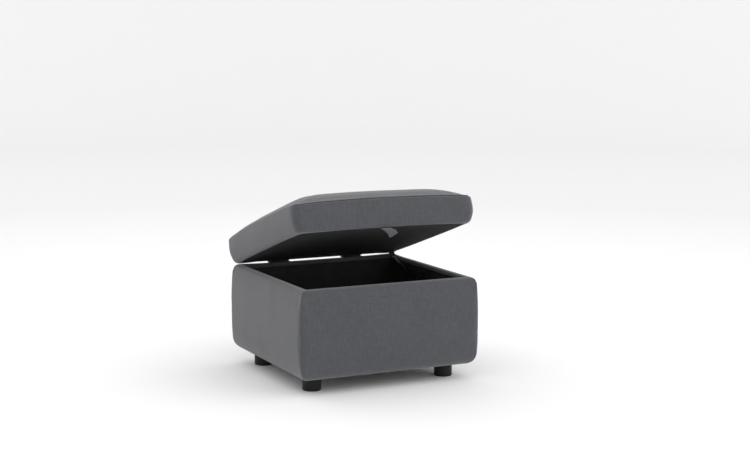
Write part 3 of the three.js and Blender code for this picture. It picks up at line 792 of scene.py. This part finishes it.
def make_lid_cushion():
    hidden, border, crown, row_from_seam = lid_profile()
    skin, rows, crowned = lid_skin(hidden, border, crown)
    points = skin[0]
    count = len(cloth_widths(LID)) - 1
    looped = count * rows
    heights = np.concatenate([[LID["bottom"]] * len(hidden), border[:, 1], crown[:, 1] + 20])
    row_free = np.clip((row_from_seam - 2) / 12, 0, 1) * np.clip((heights - LID["bottom"] - 3) / 14, 0, 1)
    free = np.ones(len(points))
    free[:looped] = np.repeat(row_free, count)
    free[crowned:] = 0
    from_seam = np.full(len(points), 200.0)
    from_seam[:looped] = np.repeat(row_from_seam, count)

    ripple = smooth_noise(points, 170, 5) * 0.8 + smooth_noise(points, 60, 6) * 0.2
    piece, normals, start = padded_form("lid_cushion", skin, free, LID_SLACK, LID_SWELL, ripple)

    # The seam's groove, the small swell on each side of it, and its puckers.
    pucker = smooth_noise(points[:, :2], 26, 8)
    groove_and_shade_weight = np.exp(-((from_seam / GROOVE_WIDTH) ** 2))
    groove = -GROOVE_DEPTH * groove_and_shade_weight + 0.8 * np.exp(-(((from_seam - 6) / 4) ** 2))
    groove += 0.4 * pucker * np.exp(-(((from_seam - 6) / 7) ** 2))
    start = start + normals * (groove * MM)[:, None]
    closed = (start - [0, MIDDLE_Y, 0]) / MM
    seam_rows = slice(len(hidden), len(hidden) + len(border) - 3)
    closed[:looped] = corner_seams(closed[:looped], count, seam_rows, LID_CORNER_PULL)
    set_points(piece, lid_to_row(lower_rear_corners(closed)))
    # The seam's weight is also stored on the points as a mark that paints shade into the cloth along the
    # groove.
    painted_groove_shade = piece.data.attributes.new(GROOVE_SHADE_LAYER, "FLOAT", "POINT")
    painted_groove_shade.data.foreach_set("value", groove_and_shade_weight)
    subdivide(piece)
    place(piece, "lid", "upholstery", UPHOLSTERY, ["lid_border", "lid_top_cover", "lid_foam"])


# ---- black cloth ----
def make_underlining():
    """The black sheet stapled under the lid, its sides pulled out past their corners over the round."""
    edge = outline(UNDERLINING_X, UNDERLINING_Y, 10)
    x, y = edge.T.copy()
    end_pull = np.where(y > 0, REAR_PULL, FRONT_PULL)
    edge[:, 1] += end_pull * (y / UNDERLINING_Y) * (1 - (x / UNDERLINING_X) ** 4)
    edge[:, 0] += SIDE_PULL * (x / UNDERLINING_X) * (1 - (y / UNDERLINING_Y) ** 4)
    underside = side_profile(LID, 24, 3)[:24]

    def height(x, y):
        inset = np.minimum(LID["x"] - np.abs(x), LID["y"] - np.abs(y))
        lift = np.interp(-inset, -underside[:, 0], underside[:, 1] - LID["bottom"])
        inside = np.clip((1 - (x / 265) ** 2) * (1 - (y / 250) ** 2), 0, 1)
        loose = smooth_noise(np.column_stack([x, y]), 120, 21)
        return UNDERLINING_TOP - 0.3 + lift + 0.35 * inside * loose

    points, faces, places = thin_sheet(edge, height, UNDERLINING_THICKNESS)
    piece = make_piece("underlining", lid_to_row(points), faces, places, crease=60)
    place(piece, "lid", "black_cloth", BLACK_CLOTH, ["lid_underlining"])


def make_dust_cloth():
    """The black sheet under the box, sagging slightly between the feet."""

    def height(x, y):
        spots = np.column_stack([x, y])
        sag = np.clip(1 - (x / 190) ** 2, 0, 1) * np.clip(1 - (y / 165) ** 2, 0, 1)
        edge = np.clip((DUST_X - np.abs(x)) / 20, 0, 1) * np.clip((DUST_Y - np.abs(y)) / 20, 0, 1)
        loose = np.clip(sag * 3, 0, 1) * edge
        return DUST_TOP - 2.5 * sag + loose * smooth_noise(spots, 70, 31) * 0.8

    edge = outline(DUST_X, DUST_Y, 6)
    points, faces, places = thin_sheet(edge, height, DUST_THICKNESS)
    piece = make_piece("dust_sheet", base_to_row(points), faces, places, crease=60)
    place(piece, "base", "black_cloth", BLACK_CLOTH, ["dust_cloth"])


def make_lining():
    """The compartment's lining: one cloth folded up the four walls, its corners tucked."""
    wide, deep = BASE["x"] - LINING_INSET, BASE["y"] - LINING_INSET
    floor = LINING_BOTTOM + LINING_THICKNESS
    inner = [(LINING_THICKNESS, z, 4) for z in np.linspace(LINING_TOP, floor + 8, 16)]
    inner += [(LINING_THICKNESS + 1, floor + 3, 5), (LINING_THICKNESS + 4, floor + 0.6, 7)]
    inner += [(LINING_THICKNESS + 9, floor, 9)]
    outer = [(0, LINING_TOP, 4), (0, LINING_BOTTOM + 6, 4), (1.5, LINING_BOTTOM, 4)]
    form = {"x": wide, "y": deep, "corner": 4}
    profile = [*reversed(outer), *inner]
    skin = Skin()
    across = cloth_widths(form)
    rings = [skin.add_points(ring_at(form, *row)) for row in profile]
    along = run_length(np.array(profile)[:, :2]) * MM
    for i in range(len(rings) - 1):
        skin.add_strip(rings[i], rings[i + 1], across, along[i], along[i + 1])
    flat = skin.count
    skin.add_cap(rings[-1], lambda x, y: np.full(len(x), floor))
    skin.add_cap(rings[0], lambda x, y: np.full(len(x), LINING_BOTTOM), facing_up=False)
    points, faces, places = skin.arrays()

    # Wrinkles up the walls and across the floor, always towards the inside of the box.
    inside = (np.arange(len(points)) >= len(outer) * len(rings[0])).astype(float)
    inside[points[:, 2] < LINING_BOTTOM + 0.5] = 0
    wall_depth = np.sin(np.clip((points[:, 2] - floor) / (LINING_TOP - floor), 0, 1) * math.pi)
    folds = smooth_noise(points * [1, 1, 0.35], 55, 41) + smooth_noise(points * [1, 1, 0.2], 160, 42)
    depth = inside * wall_depth * np.clip(1.6 + folds * 1.1, 0, 4)
    on_floor = inside * (points[:, 2] < floor + 0.2) * (np.arange(len(points)) >= flat)
    edge_x = np.clip((wide - np.abs(points[:, 0])) / 40, 0, 1)
    edge_y = np.clip((deep - np.abs(points[:, 1])) / 40, 0, 1)
    points[:, 2] += on_floor * edge_x * edge_y * np.clip(1.2 + smooth_noise(points, 110, 43) * 1.2, 0, 4)
    side_wall = np.abs(points[:, 0]) > wide - 3
    end_wall = np.abs(points[:, 1]) > deep - 3
    from_corner = np.where(side_wall, deep - np.abs(points[:, 1]), wide - np.abs(points[:, 0]))
    depth = depth * np.clip(from_corner / 60, 0, 1)
    points[:, 0] -= np.sign(points[:, 0]) * depth * side_wall
    points[:, 1] -= np.sign(points[:, 1]) * depth * (end_wall & ~side_wall)
    piece = make_piece("compartment_lining", base_to_row(points), faces, places, crease=70)
    place(piece, "base", "black_cloth", BLACK_CLOTH, ["lining"])


# ---- pull tab ----
def smooth_line(points, steps):
    """Evenly stepped points on a smooth curve through the given ones, by cubic segments."""
    points = np.array(points, float)
    ends = np.vstack([2 * points[0] - points[1], points, 2 * points[-1] - points[-2]])
    line = []
    for i in range(1, len(ends) - 2):
        a, b, c, d = ends[i - 1 : i + 3]
        for t in np.arange(steps) / steps:
            line.append(b + 0.5 * t * (c - a + t * (2 * a - 5 * b + 4 * c - d + t * (3 * (b - c) + d - a))))
    return np.array([*line, points[-1]])


def make_pull_tab():
    """A strip of the cover's cloth folded double and sewn along both edges."""
    spine = smooth_line(TAB_LINE, 14)
    along = np.gradient(spine, axis=0)
    along /= np.linalg.norm(along, axis=1, keepdims=True)
    share = run_length(spine) / run_length(spine)[-1]
    across = np.array([1.0, 0, 0]) - along * along[:, :1]
    across /= np.linalg.norm(across, axis=1, keepdims=True)
    out = np.cross(along, across)
    columns = np.array([-1, -0.97, -0.9, -0.84, -0.8, -0.76, -0.5, 0, 0.5, 0.76, 0.8, 0.84, 0.9, 0.97, 1])
    edge = np.sqrt(1 - np.clip((np.abs(columns) - 0.94) / 0.06, 0, 1) ** 2 * 0.85)
    stitch = 0.62 * np.exp(-(((np.abs(columns) - 0.8) / 0.03) ** 2))
    section = [(c, e - s) for c, e, s in zip(columns, edge, stitch)]
    section += [(c, s - e) for c, e, s in reversed(list(zip(columns, edge, stitch)))]
    closing = np.sqrt(1 - np.clip((share - 0.97) / 0.03, 0, 1) ** 2 * 0.85)
    rings = []
    for i, centre in enumerate(spine):
        side = [centre + across[i] * c * TAB_WIDTH / 2 for c, h in section]
        rise = [out[i] * h * closing[i] * TAB_THICKNESS / 2 for c, h in section]
        rings.append(np.array(side) + np.array(rise))
    wide = len(section)
    faces, places = [], []
    length = run_length(spine) * MM
    for i in range(len(rings) - 1):
        for j in range(wide):
            after = (j + 1) % wide
            faces.append((i * wide + j, (i + 1) * wide + j, (i + 1) * wide + after, i * wide + after))
            u, v = section[j][0] * TAB_WIDTH / 2 * MM, section[after][0] * TAB_WIDTH / 2 * MM
            places.append([(u, length[i]), (u, length[i + 1]), (v, length[i + 1]), (v, length[i])])
    half = len(columns)
    for start, order in ((0, 1), ((len(rings) - 1) * wide, -1)):
        for j in range(half - 1):
            quad = (start + j, start + j + 1, start + wide - 2 - j, start + wide - 1 - j)
            faces.append(quad[::order])
            places.append([(0.0, 0.0)] * 4)
    piece = make_piece("pull_strap", lid_to_row(np.concatenate(rings)), faces, places)
    place(piece, "lid", "upholstery", UPHOLSTERY, ["pull_tab"])


# ---- feet, gas strut and fixings ----
def make_feet():
    edge = rounded_rod(FOOT_RADIUS, 0, FOOT_TOP, 2.2)
    for end, y in (("front", -FOOT_Y), ("rear", FOOT_Y)):
        for side, x in (("left", -FOOT_X), ("right", FOOT_X)):
            points, faces = turned(edge, steps=96)
            foot = make_piece(f"{end}_{side}_leg", base_to_row(points + [x, y, 0]), faces, crease=50)
            place(foot, "base", "black_plastic", BLACK_PLASTIC, [f"{end}_{side}_foot"])


def make_strut():
    length = (Vector(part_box("strut_upper_socket")[0]) + Vector(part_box("strut_upper_socket")[1])) / 2
    reach = (length - STRUT_PIVOT).length / MM
    tube = rounded_rod(TUBE_RADIUS, TUBE_START, TUBE_END, 2)
    rod = rounded_rod(ROD_RADIUS, ROD_START, reach - UPPER_SOCKET, 0.3)
    for name, profile, body, slot, finish, node in (
        ("gas_cylinder", tube, "strut_cylinder", "black_steel", BLACK_STEEL, "strut_tube"),
        ("gas_piston_rod", rod, "strut_piston", "zinc_steel", ZINC, "strut_rod"),
    ):
        points, faces = turned(profile)
        place(make_piece(name, strut_to_row(points), faces, crease=40), body, slot, finish, [node])
    for name, radius, centre, body, node in (
        ("lower_eye", LOWER_SOCKET, 0, "strut_cylinder", "strut_lower_socket"),
        ("upper_eye", UPPER_SOCKET, reach, "strut_piston", "strut_upper_socket"),
    ):
        points, faces = turned(rounded_rod(radius, -SOCKET_HALF, SOCKET_HALF, 1.2))
        crosswise = points[:, [2, 1, 0]] * [1, 1, -1] + [0, 0, centre]
        eye = make_piece(name, strut_to_row(crosswise), faces, crease=40)
        place(eye, body, "black_plastic", BLACK_PLASTIC, [node])


def cross_outline(steps, arm, half_width):
    """Radius of a plus-shaped recess at each angle."""
    angles = np.arange(steps) * 2 * math.pi / steps
    cos = np.abs(np.cos(angles)) + 1e-9
    sin = np.abs(np.sin(angles)) + 1e-9
    return np.maximum(np.minimum(arm / cos, half_width / sin), np.minimum(arm / sin, half_width / cos))


def make_screw(body, node, length, to_row):
    """A countersunk screw with a cross recess. to_row places it, head upwards at height 0."""
    cross = cross_outline(48, 1.9, 0.5)
    profile = [(0.5, -length), (SCREW_RADIUS, 4 - length), (SCREW_RADIUS, -1.6), (SCREW_HEAD, -0.15)]
    profile += [(SCREW_HEAD, 0.1), (cross, 0.1), (cross * 0.8, -1.2)]
    points, faces = turned(profile)
    screw = make_piece(f"{node}_head", to_row(points), faces, crease=30)
    place(screw, body, "black_steel", BLACK_STEEL, [node])


def make_lid_screw(node, spot):
    """A short screw up into the lid's board."""
    make_screw("lid", node, SHORT_SCREW, lambda p: lid_to_row(p * [1, -1, -1] + np.array(spot)))


def make_screws():
    for side in ("left", "right"):
        for end in ("inner", "outer"):
            for body, top in (("base", BASE_LEAF_TOP), ("lid", LID_LEAF_BOTTOM)):
                node = f"{side}_{end}_{body}_screw"
                x = (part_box(node)[0].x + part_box(node)[1].x) / 2 / MM
                if body == "base":
                    spot = np.array([x, BASE_SCREW_Y, top])
                    make_screw(body, node, LONG_SCREW, lambda p, s=spot: base_to_row(p + s))
                else:
                    make_lid_screw(node, (x, LID_SCREW_Y, top))
    for number, y in ((1, 232), (2, 244)):
        make_lid_screw(f"stay_lid_screw_{number}", (250.5, y, LID_LEAF_BOTTOM))
    for number, z in ((1, 258), (2, 277)):
        spot = np.array([260.6, 18, z])
        make_screw(
            "base",
            f"stay_wall_screw_{number}",
            SHORT_SCREW,
            lambda p, s=spot: base_to_row(p[:, [2, 1, 0]] * [-1, 1, 1] + s),
        )


def staple_row(name, body, to_row, half_x, half_y, z, spacing):
    """Staples round a rectangle, each a flat wire lying just under the cloth."""
    points, faces = [], []
    for half, other, turned_round in ((half_x, half_y, False), (half_y, half_x, True)):
        for side in (-1, 1):
            for along in np.arange(-half + 25, half - 20, spacing):
                low = (along - STAPLE_HALF, side * other - 0.3, z - 0.4)
                high = (along + STAPLE_HALF, side * other + 0.3, z)
                spots, quads = box_points(low, high)
                if turned_round:
                    spots = spots[:, [1, 0, 2]] * [1, -1, 1]
                faces += [tuple(i + 8 * len(points) for i in quad) for quad in quads]
                points.append(spots)
    staples = make_piece(name, to_row(np.concatenate(points)), faces, crease=30)
    place(staples, body, "black_steel", BLACK_STEEL)


def finish_kept(node, material, edge=0.0):
    """Gives a kept CAD node its material and, where edge is set, softened metal edges in millimetres."""
    piece = frame["nodes"][node]
    piece.data.materials.clear()
    piece.data.materials.append(material)
    if edge:
        weld = piece.modifiers.new("weld", "WELD")
        weld.merge_threshold = 0.01 * MM
        bevel = piece.modifiers.new("bevel", "BEVEL")
        bevel.width = edge * MM
        bevel.segments = 2
        bevel.limit_method = "ANGLE"
        bevel.angle_limit = math.radians(40)


def finish_frame():
    for side in ("left", "right"):
        finish_kept(f"{side}_panel", PLYWOOD_Y)
        finish_kept(f"{side}_hinge_base_leaf", BLACK_STEEL, 0.15)
        finish_kept(f"{side}_hinge_lid_leaf", BLACK_STEEL, 0.15)
        finish_kept(f"{side}_hinge_pin", ZINC)
        for end in ("front", "rear"):
            finish_kept(f"{end}_{side}_post", PLYWOOD_Z)
            finish_kept(f"{end}_{side}_stud", ZINC)
    for node in ("front_panel", "rear_panel", "floor_panel", "lid_board"):
        finish_kept(node, PLYWOOD_X)
    for node in ("stay_wall_bracket", "stay_lid_bracket"):
        finish_kept(node, BLACK_STEEL, 0.3)


# ---- stage, lights and camera ----
def make_stage():
    """A seamless studio floor that bends up into a wall far behind the object."""
    turn = np.linspace(0, math.pi / 2, 17)
    flat = [(-20.0, 0.0), (0.0, 0.0), (WALL_AWAY, 0.0)]
    bend = [(WALL_AWAY + WALL_BEND * math.sin(a), WALL_BEND * (1 - math.cos(a))) for a in turn[1:]]
    path = np.array([*flat, *bend, (WALL_AWAY + WALL_BEND, WALL_HEIGHT)])
    away = np.array([math.sin(VIEW_YAW), math.cos(VIEW_YAW), 0])
    along = np.array([math.cos(VIEW_YAW), -math.sin(VIEW_YAW), 0])
    spots, faces = [], []
    for side in (-WALL_HALF, WALL_HALF):
        spots += [away * forward + along * side + [0, 0, z] for forward, z in path]
    for i in range(len(path) - 1):
        faces.append((i, i + len(path), i + len(path) + 1, i + 1))
    floor = make_piece("studio_floor", spots, faces)
    floor.data.materials.append(floor_finish())


def make_world():
    """A soft surround: an even base and broad lobes of light, each about one direction."""
    world = bpy.data.worlds.new("studio")
    bpy.context.scene.world = world
    world.use_nodes = True
    tree = world.node_tree
    place = add_node(tree, "TexCoord")
    facing = {"operation": "DOT_PRODUCT"}
    total = SURROUND_BASE
    for axis, power, strength in SURROUND:
        value = add_node(tree, "VectorMath", 1, facing, i0=place, i1=Vector(axis).normalized())
        for operation, number in (("MAXIMUM", 0.0), ("POWER", power), ("MULTIPLY", strength)):
            value = add_node(tree, "Math", 0, {"operation": operation}, i0=value, i1=number)
        total = add_node(tree, "Math", i0=total, i1=value)
    background = tree.nodes["Background"]
    background.inputs["Color"].default_value = (1, 1, 1, 1)
    tree.links.new(total, background.inputs["Strength"])


def make_camera():
    level = Vector((math.cos(VIEW_YAW), -math.sin(VIEW_YAW), 0))
    ahead = Vector((math.sin(VIEW_YAW), math.cos(VIEW_YAW), 0))
    forward = ahead * math.cos(VIEW_PITCH) - Vector((0, 0, math.sin(VIEW_PITCH)))
    upright = level.cross(forward)
    right = level * math.cos(VIEW_ROLL) + upright * math.sin(VIEW_ROLL)
    up = upright * math.cos(VIEW_ROLL) - level * math.sin(VIEW_ROLL)
    data = bpy.data.cameras.new("camera")
    data.lens = LENS
    data.sensor_width = 36
    camera = bpy.data.objects.new("camera", data)
    bpy.context.scene.collection.objects.link(camera)
    turn = Matrix((right, up, -forward)).transposed().to_4x4()
    spot = Vector(CAMERA_PLACE) + Vector((0, MIDDLE_Y, 0))
    camera.matrix_world = Matrix.Translation(spot) @ turn
    bpy.context.scene.camera = camera


bpy.context.scene.view_settings.view_transform = "Standard"
make_camera()
make_stage()
make_world()
make_base_cover()
make_lid_cushion()
make_underlining()
make_dust_cloth()
make_lining()
make_pull_tab()
make_feet()
make_strut()
make_screws()
staple_row("dust_cloth_staples", "base", base_to_row, DUST_X - 8, DUST_Y - 8, DUST_TOP - DUST_THICKNESS, 42)
staple_row(
    "underlining_staples",
    "lid",
    lid_to_row,
    UNDERLINING_X - 7,
    UNDERLINING_Y - 7,
    UNDERLINING_TOP - UNDERLINING_THICKNESS,
    46,
)
finish_frame()
